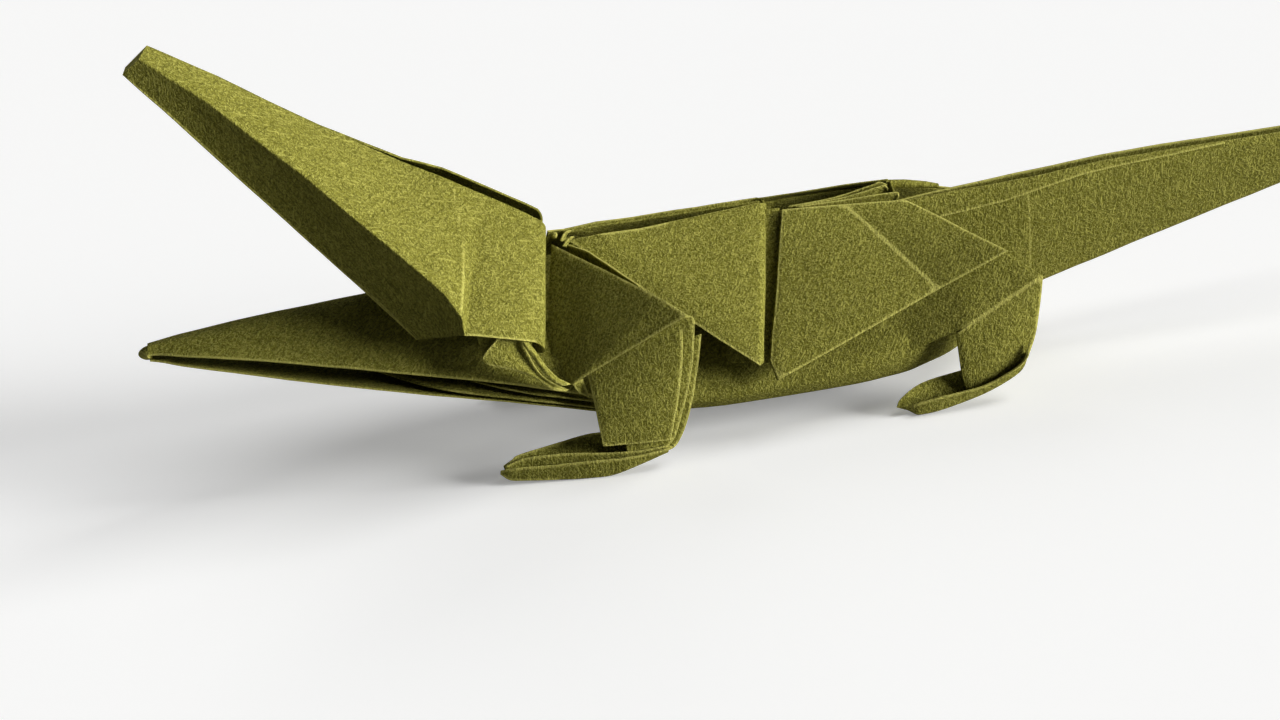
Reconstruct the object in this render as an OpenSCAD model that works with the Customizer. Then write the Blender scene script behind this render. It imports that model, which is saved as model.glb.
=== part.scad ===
// A crocodile folded from one sheet of paper, standing on four bent legs with its mouth open.
// X runs from snout to tail, Y across the body, Z up. Lengths along X are given from the neck,
// with the tail on the positive side. A half width is the distance of a corner from the middle
// plane, and a height is measured from the floor. The left half is drawn and then mirrored.

/* [Paper] */
// Thickness of one ply, which is the sheet folded double
ply = 0.4; // [0.3:0.05:0.6]
// Air left between two plies that lie on each other
ply_gap = 0.35; // [0.2:0.05:0.6]

/* [Upper jaw] */
// Length of the top edge, from the neck to the snout
upper_jaw_len = 54.7; // [48:0.1:60]
// Angle of the top edge above level
upper_jaw_angle = 35; // [30:0.5:39]
// How far the rear end of the top edge lies ahead of the neck
upper_jaw_ahead = 2; // [1:0.1:3]
// Height of the rear end of the top edge above the back
upper_jaw_rise = 3.7; // [3:0.1:4.5]
// Depth of the lip below the top edge at the base
lip_depth = 19.7; // [18:0.1:21]
// Distance of the base of the lip along the top edge
lip_along = 9.8; // [8:0.1:12]
// Half width between the lips at the base
lip_half = 9; // [7.5:0.1:10.5]
// Depth of the cheek ridge below the top edge at the base
ridge_depth = 14.4; // [13:0.1:16]
// Distance of the base of the cheek ridge along the top edge
ridge_along = 5.8; // [4.5:0.1:7]
// Half width across the cheek ridges at the base
cheek_half = 15.3; // [14:0.1:16.5]
// Depth of the rear cheek corner below the top edge
ear_depth = 12; // [11:0.1:13]
// How far the rear cheek corner lies behind the top edge
ear_back = 4.4; // [3.5:0.1:5]
// Half width across the rear cheek corners
ear_half = 13.5; // [12.5:0.1:14.5]
// Half width of the slit in the top, at the rear
head_slit = 2.8; // [2:0.1:3.5]
// Length of the slit in the top
head_slit_len = 27.7; // [20:0.1:35]
// Distance of the cheek crease along the top edge
cheek_crease = 14.6; // [10:0.1:18]
// Depth of the blunt snout
snout_depth = 4.4; // [3.5:0.1:5.5]
// Depth of the cheek ridge at the snout
snout_ridge = 1.6; // [1:0.1:2.2]
// Half width of the snout across the ridges
snout_half = 2.3; // [1.8:0.1:3]
// How far the lower lip of the snout stands ahead of the top edge
snout_lip = 1.4; // [0.8:0.1:2]
// Length of the band that is folded over at the snout
snout_band = 1.4; // [1:0.1:2.5]

/* [Lower jaw] */
// Length from the neck to the tip
lower_jaw_len = 57.9; // [50:0.1:64]
// Height of the tip
lower_jaw_tip_z = 22.8; // [20:0.1:25]
// Height of the middle ridge at the neck
lower_jaw_ridge_z = 26; // [25:0.1:26.5]
// Half width at the neck
lower_jaw_half = 14; // [13:0.1:14.5]
// Height of the edge of the upper ply at the neck
lower_jaw_edge_z = 10.8; // [10:0.1:12]
// Half width of the tip
lower_jaw_tip_half = 1.1; // [0.8:0.1:1.6]
// Height of the throat at the neck
throat_z = 8; // [7:0.1:9]
// Half width of the throat at the neck
throat_half = 13; // [12:0.1:14]
// Outer radius of the curl of paper in the corner of the mouth
curl_r = 1.7; // [1.3:0.1:2]

/* [Back] */
// Height of the back edges at the neck
back_z = 27.9; // [26.5:0.1:29.5]
// Rise of the back edges from the neck to the end of the front flaps
back_rise = 0.9; // [0.3:0.1:1.5]
// Length of the back, from the neck to the rear peak
back_len = 44.3; // [42:0.1:46]
// Half width of the slit in the back at its widest
back_slit = 2.9; // [2.4:0.1:3.4]
// Length of the top edge of a front flap
flap_len = 29.1; // [27:0.1:31]
// Distance of the tip of a front flap from the neck
flap_tip_x = 22; // [20:0.1:24]
// Half width across the tips of the front flaps
flap_tip_half = 15; // [14.4:0.1:16]
// Height of the tip of a front flap
flap_tip_z = 11.1; // [10:0.1:12.5]

/* [Rear panel] */
// Distance of the low corner from the neck
panel_low_x = 24.2; // [23:0.1:26]
// Half width across the low corners
panel_low_half = 15.5; // [14.8:0.1:16.5]
// Height of the low corner
panel_low_z = 8.7; // [8:0.1:10]
// Distance of the top of the panel's crease from the neck
panel_crease_x = 37.7; // [35:0.1:40]
// Distance of the bottom of the panel's crease from the neck
panel_bend_x = 47.2; // [45:0.1:49]
// Half width across the bottom of the panel's crease
panel_bend_half = 13; // [12.5:0.1:14]
// Height of the bottom of the panel's crease
panel_bend_z = 16.2; // [15:0.1:17.5]
// Half width across the rear end of the panel's top edge
skirt_root_half = 4.4; // [3.6:0.1:5]
// How far the pleats behind the panel's top edge reach down
pleat_drop = 6; // [4:0.1:8]
// Height of the rear end of the panel's top edge
skirt_root_z = 26.3; // [25.5:0.1:27]
// Distance of the outer rear corner from the neck
skirt_x = 57; // [54:0.1:59]
// Half width across the outer rear corners
skirt_half = 13.6; // [12.5:0.1:14.5]
// Height of the outer rear corner
skirt_z = 20.3; // [19:0.1:21.5]

/* [Belly] */
// Half width of the belly
belly_half = 13.2; // [12.4:0.1:13.8]
// Height at which the belly begins to round under
belly_side_z = 10.8; // [9.5:0.1:12]
// Height of the underside of the belly
belly_z = 3.2; // [2.5:0.1:4.5]

/* [Front leg] */
// Distance of the elbow from the neck
elbow_x = 13.7; // [12:0.1:16]
// Half width across the elbows
elbow_half = 17.5; // [16.5:0.1:19]
// Height of the elbow
elbow_z = 20.8; // [19:0.1:22]
// Height of the front corner of the arm
arm_corner_z = 13; // [12:0.1:14]
// Half width across the front corners of the arms
arm_corner_half = 14.2; // [13.8:0.1:15]
// How far the front corner of the arm lies ahead of the neck
arm_corner_ahead = 2.2; // [1.5:0.1:3]
// Half width across the front ankles
ankle_half = 17; // [16:0.1:18]
// Length of the front ankle along X
ankle_len = 8.4; // [7:0.1:10]
// Height of the front of the ankle
ankle_z = 4.9; // [4:0.1:5.5]
// Height of the raised front heel
front_heel_z = 2.3; // [1.5:0.1:3]
// Length of the front foot ahead of the ankle
front_toe_len = 13.6; // [11:0.1:16]
// Half width across the front toes
front_toe_half = 13.2; // [12.4:0.1:15]

/* [Hind leg] */
// Distance of the hip corner from the neck
hip_x = 61.1; // [59:0.1:63]
// Half width across the hip corners
hip_half = 15; // [14:0.1:16]
// Height of the hip corner
hip_z = 16.4; // [15:0.1:18]
// Distance of the groin corner, at the front of the thigh, from the neck
groin_x = 48.8; // [47:0.1:50]
// Half width across the groin corners
groin_half = 14; // [13.2:0.1:15]
// Height of the groin corner
groin_z = 9.9; // [9:0.1:11]
// Half width across the middles of the hind feet
hind_foot_half = 15.8; // [15:0.1:17]
// Distance of the hind toe from the neck
hind_toe_x = 40; // [38:0.1:42]
// Height of the raised hind heel
heel_z = 4.5; // [3.5:0.1:5.5]

/* [Feet] */
// Half width of the sole
sole_half = 0.9; // [0.7:0.05:1.2]
// Height of the side walls of a foot at the ankle
foot_wall = 4.6; // [4:0.1:5.2]

/* [Tail] */
// Distance of the tip from the neck
tail_tip_x = 136.7; // [110:0.1:150]
// Height of the top edges
tail_top_z = 25.3; // [24.5:0.1:26]
// Half width between the top edges at the widest
tail_half = 2.5; // [2:0.1:3]
// Height of the keel where it leaves the body
tail_keel_z = 7.5; // [6.5:0.1:8.5]
// Width of the hem along the root of the tail
tail_hem = 3; // [2:0.1:4]

/* [Hidden] */
paper_green = "#7d7a2c";

// Shift that puts the middle of the whole length at the origin
middle_x = (tail_tip_x - lower_jaw_len) / 2;
// Distance from the middle plane at which two plies touch
touch = ply / 2;
// Height of the middle of a ply that lies on the floor
sole_z = ply / 2;
// Step from one ply to the next where plies lie on each other
ply_step = ply + ply_gap;
// How much thicker than the sheet a fold line is, and the number of its facets
fold_swell = 1.5;
fold_facets = 8;
// Least share of a panel's normal at a corner, which keeps sharp corners from growing spikes
least_spread = 0.6;
// Share of a slit's half width that is left at the lower edge of an inner ply
inner_close = 1 / 3;

// Functions on points
function left(x, half, z) = [x, -half, z];
function across(p) = [p.x, -p.y, p.z];
function between(a, b, f) = a + (b - a) * f;
function unit(v) = v / norm(v);
function total(v, i = 0) = i == len(v) - 1 ? v[i] : v[i] + total(v, i + 1);
function flat_list(rows) = [for (row = rows) each row];
// A row of points from the left edge over the middle to the right edge
function full_row(half) = concat(half, [for (i = [len(half) - 2:-1:0]) across(half[i])]);

// Normal of a panel whose corners run counter-clockwise, seen from outside
function panel_normal(points, panel) =
    unit(total([
        for (i = [0:len(panel) - 1])
            cross(points[panel[i]], points[panel[(i + 1) % len(panel)]])
    ]));

// Direction in which a corner of the folded sheet moves as the sheet gets its thickness
function corner_offset(corner, panels, normals) =
    let (
        own = [
            for (k = [0:len(panels) - 1])
                for (i = panels[k])
                    if (i == corner) normals[k]
        ],
        mean = unit(total(own)),
        spread = min([for (n = own) mean * n])
    )
    mean / max(spread, least_spread);

// Edges that belong to one panel only, which are the cut edges of the sheet
function free_edges(panels) =
    let (
        edges = [
            for (panel = panels)
                for (i = [0:len(panel) - 1])
                    [panel[i], panel[(i + 1) % len(panel)]]
        ]
    )
    [
        for (e = edges)
            if (len([for (g = edges) if (g == [e[1], e[0]]) 1]) == 0) e
    ];

// A folded sheet: flat panels that share corners, given a thickness on both sides of their middle
module folded_sheet(points, panels, thickness = ply) {
    normals = [for (panel = panels) panel_normal(points, panel)];
    offsets = [for (i = [0:len(points) - 1]) corner_offset(i, panels, normals) * thickness / 2];
    count = len(points);
    outer = [for (panel = panels) [for (i = [len(panel) - 1:-1:0]) panel[i]]];
    inner = [for (panel = panels) [for (i = panel) i + count]];
    rim = [for (e = free_edges(panels)) [e[0], e[1], e[1] + count, e[0] + count]];
    polyhedron(
        points = concat(points + offsets, points - offsets),
        faces = concat(outer, inner, rim)
    );
}

// A sheet through rows of points, with each square between two rows as two panels
module lofted_sheet(rows, thickness = ply) {
    per_row = len(rows[0]);
    panels = [
        for (r = [0:len(rows) - 2])
            for (i = [0:per_row - 2])
                let (a = r * per_row + i)
                each [[a, a + 1, a + per_row + 1], [a, a + per_row + 1, a + per_row]]
    ];
    folded_sheet(flat_list(rows), panels, thickness);
}

// A rounded fold line through a chain of corners, where the sheet turns back on itself
module fold_line(chain, thickness = ply) {
    r = thickness * fold_swell / 2;
    for (i = [0:len(chain) - 2])
        hull() {
            translate(chain[i]) sphere(r, $fn = fold_facets);
            translate(chain[i + 1]) sphere(r, $fn = fold_facets);
        }
}

module both_sides() {
    children();
    mirror([0, 1, 0]) children();
}

// Upper jaw: share of the snout's half width at its lower lip
snout_taper = 0.8;
// Share of the head's depth that the inner ply reaches at the front of the slit
inner_reach = 0.8;
// How far below the rim of the slit the inner ply starts
inner_start = ply / 3;
// Direction in which the snout's band lies above the top panel, for each unit of lift
band_out = left(-0.3, 0.5, 0.6);

// A point of the upper jaw, given along and square to the top edge, with its half width
function on_head(along, depth, half) =
    left(
        -upper_jaw_ahead - along * cos(upper_jaw_angle) - depth * sin(upper_jaw_angle),
        half,
        back_z + upper_jaw_rise + along * sin(upper_jaw_angle) - depth * cos(upper_jaw_angle)
    );

head_top = on_head(0, 0, head_slit);
head_crease = on_head(cheek_crease, 0, between(head_slit, touch, cheek_crease / head_slit_len));
head_join = on_head(head_slit_len, 0, touch);
snout_top = on_head(upper_jaw_len, 0, touch);
snout_side = on_head(upper_jaw_len, snout_ridge, snout_half);
snout_low = on_head(upper_jaw_len + snout_lip, snout_depth, snout_half * snout_taper);
cheek = on_head(ridge_along, ridge_depth, cheek_half);
ear = on_head(-ear_back, ear_depth, ear_half);
lip = on_head(lip_along, lip_depth, lip_half);

// Outer ply of one side of the upper jaw: cheek, long top panel and undercut side wall
module jaw_side() {
    folded_sheet(
        [head_top, head_crease, head_join, snout_top, snout_side, cheek, ear, lip, snout_low],
        [[0, 1, 5, 6], [1, 2, 5], [2, 4, 5], [2, 3, 4], [5, 4, 8], [5, 8, 7]]
    );
    fold_line([ear, head_top, head_crease, head_join, snout_top]);
    fold_line([cheek, snout_side]);
    fold_line([ear, cheek, lip, snout_low]);
}

// Inner ply that hangs from the slit and parts the hollow of the head
module jaw_inner_ply() {
    folded_sheet(
        [
            on_head(ply, inner_start, head_slit),
            on_head(head_slit_len - ply, inner_start, touch),
            on_head(head_slit_len, ridge_depth * inner_reach, touch),
            on_head(ridge_along, ridge_depth, head_slit * inner_close)
        ],
        [[0, 1, 2, 3]]
    );
}

// Palate between the two lips, and the blunt end of the snout
module palate() {
    folded_sheet(
        [lip, snout_low, across(snout_low), across(lip)],
        [[0, 1, 2, 3]]
    );
    folded_sheet(
        [
            snout_top, snout_side, snout_low,
            across(snout_low), across(snout_side), across(snout_top)
        ],
        [[0, 5, 4, 1], [1, 4, 3, 2]]
    );
}

// Band at the snout where the tip of the sheet is folded back over the top panel
module snout_fold() {
    back = snout_band / (upper_jaw_len - ridge_along);
    lift = ply + ply_gap / 2;
    function lifted(p) = p + band_out * lift;
    folded_sheet(
        [
            lifted(snout_top),
            lifted(snout_side),
            lifted(between(snout_side, cheek, back)),
            lifted(between(snout_top, head_join, back))
        ],
        [[0, 1, 2, 3]]
    );
}

// Lower jaw: shares of its length, from the tip, at which a row of points stands. The first
// step is the rounded tip, and the last row runs on under the trunk.
jaw_tip_end = 0.03;
jaw_end = 1.03;
jaw_stations = [0, jaw_tip_end, 0.08, 0.2, 0.36, 0.52, 0.68, 0.84, jaw_end];
// How early the jaw widens, how early its ridge rises and how late its edge drops
jaw_widening = 0.7;
jaw_crown = 0.35;
jaw_droop = 1.4;
// Place of the soft shoulder from the ridge to the edge, and how far it is filled out
jaw_shoulder = 0.25;
jaw_fullness = 0.06;
// Sag of the throat for each unit of its half width
throat_sag = 0.1;
// Swell of the rounded tip, with its stretch across and upwards
jaw_tip_swell = 1.4;
jaw_tip_front = [1, 2.2, 1.6];
jaw_tip_back = [1, 3.4, 1];
// Shares of the length at which the short middle ply stands, its level between the other two
// plies, and the rise of its middle above the throat
middle_ply_stations = [0.7, 0.85, jaw_end];
middle_ply_level = 0.45;
middle_ply_rise = 2;

function jaw_x(f) = -lower_jaw_len * (1 - f);
function jaw_half(f) = max(lower_jaw_tip_half, lower_jaw_half * pow(f, jaw_widening));
function jaw_ridge_z(f) = between(lower_jaw_tip_z, lower_jaw_ridge_z, pow(f, jaw_crown));
function jaw_edge_z(f) = between(lower_jaw_tip_z, lower_jaw_edge_z, pow(f, jaw_droop));
function jaw_floor_z(f) = between(lower_jaw_tip_z, throat_z, f);
function floor_half(f) = max(lower_jaw_tip_half, throat_half * pow(f, jaw_widening));

// Upper ply of the lower jaw, a low tent with a soft middle ridge
module jaw_tent() {
    lofted_sheet([
        for (f = jaw_stations)
            let (
                side = left(jaw_x(f), jaw_half(f), jaw_edge_z(f)),
                ridge = left(jaw_x(f), 0, jaw_ridge_z(f)),
                fill = jaw_fullness * (jaw_ridge_z(f) - jaw_edge_z(f)),
                soft = between(ridge, side, jaw_shoulder) + [0, 0, fill]
            )
            full_row([side, soft, ridge])
    ]);
}

// Lower ply of the lower jaw, which leaves an open slit along each side
module jaw_floor() {
    lofted_sheet([
        for (f = jaw_stations)
            [
                left(jaw_x(f), -floor_half(f), jaw_floor_z(f)),
                left(jaw_x(f), 0, jaw_floor_z(f) - throat_sag * floor_half(f)),
                left(jaw_x(f), floor_half(f), jaw_floor_z(f))
            ]
    ]);
}

// Rounded fold that joins both plies at the tip
module jaw_tip() {
    r = touch * jaw_tip_swell;
    hull() {
        translate([jaw_x(0) + touch, 0, lower_jaw_tip_z])
            scale(jaw_tip_front)
                sphere(r, $fn = fold_facets);
        translate([jaw_x(jaw_tip_end), 0, jaw_floor_z(jaw_tip_end)])
            scale(jaw_tip_back)
                sphere(r, $fn = fold_facets);
        translate([jaw_x(jaw_tip_end), 0, jaw_ridge_z(jaw_tip_end)])
            sphere(touch, $fn = fold_facets);
    }
}

// Short ply between the two, seen as an extra edge near the neck
module jaw_middle_ply() {
    lofted_sheet([
        for (f = middle_ply_stations)
            full_row([
                left(
                    jaw_x(f),
                    (floor_half(f) + jaw_half(f)) / 2,
                    between(jaw_floor_z(f), jaw_edge_z(f), middle_ply_level)
                ),
                left(jaw_x(f), 0, jaw_floor_z(f) + middle_ply_rise)
            ])
    ]);
}

// Curl in the corner of the mouth: first angle and sweep of the rolled strip, number of straight
// steps around it, and where along its run it has which share of its radius
curl_start = -40;
curl_sweep = 300;
curl_steps = 9;
curl_shape = [[0, 1], [0.55, 0.8], [1, 0.45]];
// Ends of the curl below the cheek and beside the front corner of the arm
curl_cheek = between(ear, cheek, 0.55) + left(0, -1.6, -0.9 * curl_r);
curl_arm = left(-arm_corner_ahead - 0.6, arm_corner_half - 0.4, arm_corner_z - 0.2);

// Curl of paper in the corner of the mouth, a strip rolled around a slanting line
module mouth_curl() {
    run = unit(curl_arm - curl_cheek);
    side = unit(cross(run, [0, 1, 0]));
    rise = cross(side, run);
    lofted_sheet([
        for (s = curl_shape)
            [
                for (i = [0:curl_steps])
                    let (turn = curl_start + i * curl_sweep / curl_steps)
                    between(curl_cheek, curl_arm, s[0])
                        + curl_r * s[1] * (cos(turn) * side + sin(turn) * rise)
            ]
    ]);
}

// Strip beside the curl that ties the cheek to the arm
module mouth_strip() {
    folded_sheet(
        [
            between(ear, cheek, 0.25),
            between(ear, cheek, 0.6) + left(0, -2, -0.6),
            curl_arm + left(0, -0.9, -0.8),
            curl_arm + left(1.4, -0.2, 0.6)
        ],
        [[0, 1, 2], [0, 2, 3]]
    );
}

// Trunk: half width of the slit at the neck and at the rear peak of the back
neck_slit = 1.3;
peak_slit = 1;
// Number of straight steps that round each side of the belly, and how square its section is
belly_steps = 4;
belly_round = 0.6;
// Distance from the neck at which the body has narrowed to the tail, and the keel's half width
tail_root_x = hip_x - 1.5;
keel_half = 0.8;
// Height of the rounded lower edge of the tail above its keel
keel_round = 0.7;
// Height of the tail at its tip
tail_tip_height = 0.9;

// Each section has an x, the half gap and height of its top edge, the half width and height of
// its side, and the height of its keel
trunk_sections = [
    [-4, peak_slit, back_z - 0.3, throat_half - 2.2, arm_corner_z + 1, throat_z + 1.6],
    [2, neck_slit, back_z, throat_half - 0.4, arm_corner_z - 0.8, throat_z - 1],
    [12, between(neck_slit, back_slit, 0.4), back_z + 0.4 * back_rise, belly_half,
        belly_side_z + 0.6, belly_z + 0.9],
    [flap_len, back_slit, back_z + back_rise, belly_half, belly_side_z, belly_z],
    [back_len - 4, 1.9, back_z + 0.4 * back_rise, belly_half, belly_side_z, belly_z + 0.1],
    [back_len, peak_slit, back_z - 0.1, belly_half - 0.6, belly_side_z + 0.2, belly_z + 0.5],
    [groin_x + 2.4, 1.6, tail_top_z + 0.3, belly_half * 0.76, belly_side_z + 0.6, belly_z + 1.4],
    [tail_root_x - 4, 1.8, tail_top_z, tail_half * 2, tail_keel_z + 3.6, tail_keel_z - 1.2],
    [tail_root_x, 2, tail_top_z, keel_half, tail_keel_z + 1, tail_keel_z]
];
// Shares of the tail's length behind its root, and of its half width there
tail_sections = [
    for (s = [[0.23, 1], [0.54, 0.72], [0.8, 0.36], [1, 0.1]])
        let (keel = between(tail_keel_z, tail_top_z - tail_tip_height, s[0]))
        [
            between(tail_root_x, tail_tip_x - touch, s[0]),
            tail_half * s[1],
            tail_top_z,
            between(keel_half, touch / 2, s[0]),
            keel + keel_round * (1 - s[0] / 2),
            keel
        ]
];

// Points of a section: top edge, straight wall, then the rounded belly down to the keel
function section_row(s) =
    full_row(concat(
        [left(s[0], s[1], s[2])],
        [
            for (i = [0:belly_steps])
                let (turn = 90 * i / belly_steps)
                left(
                    s[0],
                    s[3] * pow(max(cos(turn), 0), belly_round),
                    s[4] - (s[4] - s[5]) * pow(sin(turn), belly_round)
                )
        ]
    ));

// Belly, inner walls and tail: one open tube, slit along the top
module trunk() {
    sections = concat(trunk_sections, tail_sections);
    lofted_sheet([for (s = sections) section_row(s)]);
    both_sides()
        fold_line([for (s = sections) left(s[0], s[1], s[2])]);
}

// Inner ply that hangs from the slit in the back and parts the hollow of the body
inner_least = 0.6;
inner_above_keel = 5;
module back_inner_ply() {
    lofted_sheet([
        for (i = [1:6])
            let (s = trunk_sections[i])
            [
                left(s[0], s[1], s[2]),
                left(s[0], max(s[1] * inner_close, inner_least), s[5] + inner_above_keel)
            ]
    ]);
}

// Front flap: a triangle that hangs from the edge of the back, almost two plies thick
flap_ply = ply * 1.8;
flap_front = left(0.6, neck_slit + 0.2, back_z);
flap_rear = left(flap_len, back_slit + 0.1, back_z + back_rise);
flap_tip = left(flap_tip_x, flap_tip_half, flap_tip_z);
module front_flap() {
    folded_sheet([flap_front, flap_tip, flap_rear], [[0, 1, 2]], flap_ply);
    fold_line([flap_front, flap_tip, flap_rear, flap_front], flap_ply);
}

// Rear panel: its top edge starts a little below the flap and ends behind the peak of the back
panel_front = left(flap_len + 0.4, back_slit + 0.5, back_z + back_rise - 1.1);
skirt_root = left(back_len + 1.5, skirt_root_half, skirt_root_z);
panel_low = left(panel_low_x, panel_low_half, panel_low_z);
// Small outward step in the front edge, near the low corner
panel_nick = between(panel_front, panel_low, 0.86) + left(-1.3, 0.2, 0);
panel_crease_z = (panel_front.z + skirt_root.z) / 2;
panel_crease = left(panel_crease_x, -(panel_front.y + skirt_root.y) / 2, panel_crease_z);
panel_bend = left(panel_bend_x, panel_bend_half, panel_bend_z);
skirt = left(skirt_x, skirt_half, skirt_z);

// Rear panel: steep in front of its crease, and spread like a skirt behind it
module rear_panel() {
    folded_sheet(
        [panel_front, panel_nick, panel_low, panel_bend, panel_crease, skirt_root, skirt],
        [[0, 1, 2], [0, 2, 3], [0, 3, 4], [4, 3, 6], [4, 6, 5]]
    );
    fold_line([panel_front, panel_nick, panel_low, panel_bend, skirt, skirt_root]);
}

// Pleats that fan out above the rear panel, up to the rear peak of the back: their number, and
// the outward slope of the lowest and the highest one
pleat_count = 2;
pleat_slope = 0.55;
pleat_slope_change = 0.25;
module back_pleats() {
    peak = left(back_len, peak_slit, back_z - 0.1);
    for (step = [1:pleat_count]) {
        f = step / (pleat_count + 1);
        pleat_top = between(skirt_root, peak, f);
        slope = pleat_slope - pleat_slope_change * f;
        folded_sheet(
            [
                between(panel_front, flap_rear, f),
                pleat_top + left(-0.5, slope, -1) * pleat_drop,
                pleat_top
            ],
            [[0, 1, 2]]
        );
    }
}

// Front leg: corners of the arm panel and of the ankle
shoulder = left(-1.5, 2, back_z);
armpit = left(-4.6, 8.8, arm_corner_z + 4.9);
arm_corner = left(-arm_corner_ahead, arm_corner_half, arm_corner_z);
elbow = left(elbow_x, elbow_half, elbow_z);
ankle_front = left(-0.2, ankle_half, ankle_z);
ankle_rear = left(ankle_len - 0.2, ankle_half, ankle_z - 1.5);
// Number of plies behind the leg, how far each stands behind the one before, and how far lower
leg_plies = 2;
leg_ply_back = 0.8;
leg_ply_drop = 0.5;
function behind_half(half, step) = half - step * ply_step;
function behind(p, step) = left(p.x + step * leg_ply_back, behind_half(-p.y, step), p.z);

// Outer ply: the arm panel runs down to the elbow and folds back into the leg
module front_leg() {
    folded_sheet(
        [shoulder, armpit, arm_corner, elbow, ankle_front, ankle_rear],
        [[0, 1, 2], [0, 2, 3], [2, 4, 5], [2, 5, 3]]
    );
    fold_line([shoulder, elbow, arm_corner]);
    fold_line([arm_corner, ankle_front]);
    fold_line([elbow, ankle_rear]);
}

// Plies behind the leg, which stand on the sole
module front_leg_plies() {
    for (step = [1:leg_plies])
        folded_sheet(
            [
                behind(between(arm_corner, elbow, 0.15), step),
                left(step, behind_half(ankle_half, step), sole_z),
                left(ankle_len - 1, behind_half(ankle_half, step), front_heel_z),
                behind(elbow, step) - left(0, 0, step * leg_ply_drop)
            ],
            [[0, 1, 2], [0, 2, 3]]
        );
}

// Second ply under the arm, which shows along its top edge
under_arm = left(0.8, -0.5, 0.3) * ply_step;
module arm_ply() {
    folded_sheet(
        [
            shoulder + under_arm,
            between(armpit, shoulder, 0.3) + under_arm - left(0, 0.5, 0.3),
            between(arm_corner, elbow, 0.5) + under_arm,
            elbow + under_arm
        ],
        [[0, 1, 2], [0, 2, 3]]
    );
}

// Section of a foot, from the rim of the outer wall over the sole to the rim of the inner wall:
// x, half width of the middle, half width of the sole and its height, then for the outer and
// the inner wall how far the rim leans out and how high it stands
function foot_row(x, middle, half, z, lean_out, rim_out, lean_in, rim_in) = [
    left(x, middle + half + lean_out, rim_out),
    left(x, middle + half, z),
    left(x, middle - half, z),
    left(x, middle - half - lean_in, rim_in)
];
// Half width of the sole at a toe and its height there
toe_sole = 0.3;
toe_z = 0.9;

// Front foot: a boat of paper with a flat sole and a raised heel
module front_foot() {
    toe_x = -front_toe_len - 0.2;
    ball_x = toe_x * 0.58;
    middle = ankle_half - 1.6;
    ball = between(front_toe_half, middle, 0.45);
    lofted_sheet([
        foot_row(toe_x, front_toe_half, toe_sole, toe_z, 0.2, 2.6, 0.4, 2.3),
        foot_row(ball_x, ball, sole_half, sole_z, 0.7, foot_wall * 0.72, 1.2, foot_wall * 0.62),
        foot_row(0, middle, sole_half, sole_z, 1.6 - sole_half, ankle_z, 2, foot_wall * 0.85),
        foot_row(ankle_len, middle, sole_half, front_heel_z, 1.6 - sole_half, ankle_z - 1.4, 0.8,
            ankle_z - 1.2)
    ]);
}

// Hind leg: corners of the thigh
hip = left(hip_x, hip_half, hip_z);
groin = left(groin_x, groin_half, groin_z);
knee = left(hip_x - 0.9, hip_half + 0.4, hip_z - 5);
heel_x = hip_x - 2.6;
heel_top = left(heel_x, hind_foot_half + 0.2, heel_z + 1.8);
shin = left(groin_x + 0.3, between(groin_half, hind_foot_half, 0.4), 2.4);
// Front end of the band, inside the belly
band_low = left(panel_bend_x - 9, belly_half - 1.2, belly_side_z - 3.2);
band_high = left(panel_bend_x - 8, belly_half - 4.4, panel_bend_z + 1.5);

// Outer ply: the band below the rear panel runs back to the hip and folds down into the thigh
module hind_leg() {
    folded_sheet(
        [band_low, groin, hip, skirt + left(0.6, -0.5, -0.8), band_high, shin, heel_top, knee],
        [[0, 1, 4], [1, 3, 4], [1, 2, 3], [1, 5, 6], [1, 6, 7], [1, 7, 2]]
    );
    fold_line([shin, groin, hip, knee, heel_top]);
}

// Ply behind the thigh
module hind_leg_ply() {
    inward = left(0.5, -ply_step, 0);
    folded_sheet(
        [for (p = [groin, shin, heel_top, knee, hip]) p + inward],
        [[0, 1, 2], [0, 2, 3], [0, 3, 4]]
    );
}

// Hind foot: a longer boat that rises to the heel
module hind_foot() {
    half = hind_foot_half;
    ball_x = hind_toe_x + 2.4;
    flat_x = hind_toe_x + 6.4;
    lofted_sheet([
        foot_row(hind_toe_x, half, toe_sole, toe_z, 0.1, 2.4, 0.2, 2.2),
        foot_row(ball_x, half, sole_half, sole_z, 0.7, foot_wall * 0.74, 1, foot_wall * 0.62),
        foot_row(flat_x, half, sole_half, sole_z, 0.9, foot_wall, 1.4, foot_wall * 0.9),
        foot_row(heel_x, half, toe_sole, heel_z, 0.5, heel_z + 2.8, 0.6, heel_z + 2.4)
    ]);
}

// Hem folded down along the outside of the tail's root: where it starts ahead of the root, and
// the shares of the tail's length at which its upper and its lower edge end
hem_ahead = 7;
hem_top_end = 0.25;
hem_low_end = 0.36;
hem_out = ply * 0.8;
module tail_hem_ply() {
    function edge(f) =
        left(
            between(tail_root_x - hem_ahead, tail_tip_x, f),
            between(2, tail_half, f / hem_top_end) + hem_out,
            tail_top_z
        );
    folded_sheet(
        [
            edge(0),
            edge(0) - left(0, 0.2, tail_hem),
            edge(hem_low_end) - left(0, ply, 0.3),
            edge(hem_top_end)
        ],
        [[0, 1, 3], [1, 2, 3]]
    );
}

// Space below the floor, in which nothing of the paper may stand
below_floor = [1000, 1000, 10];

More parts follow.
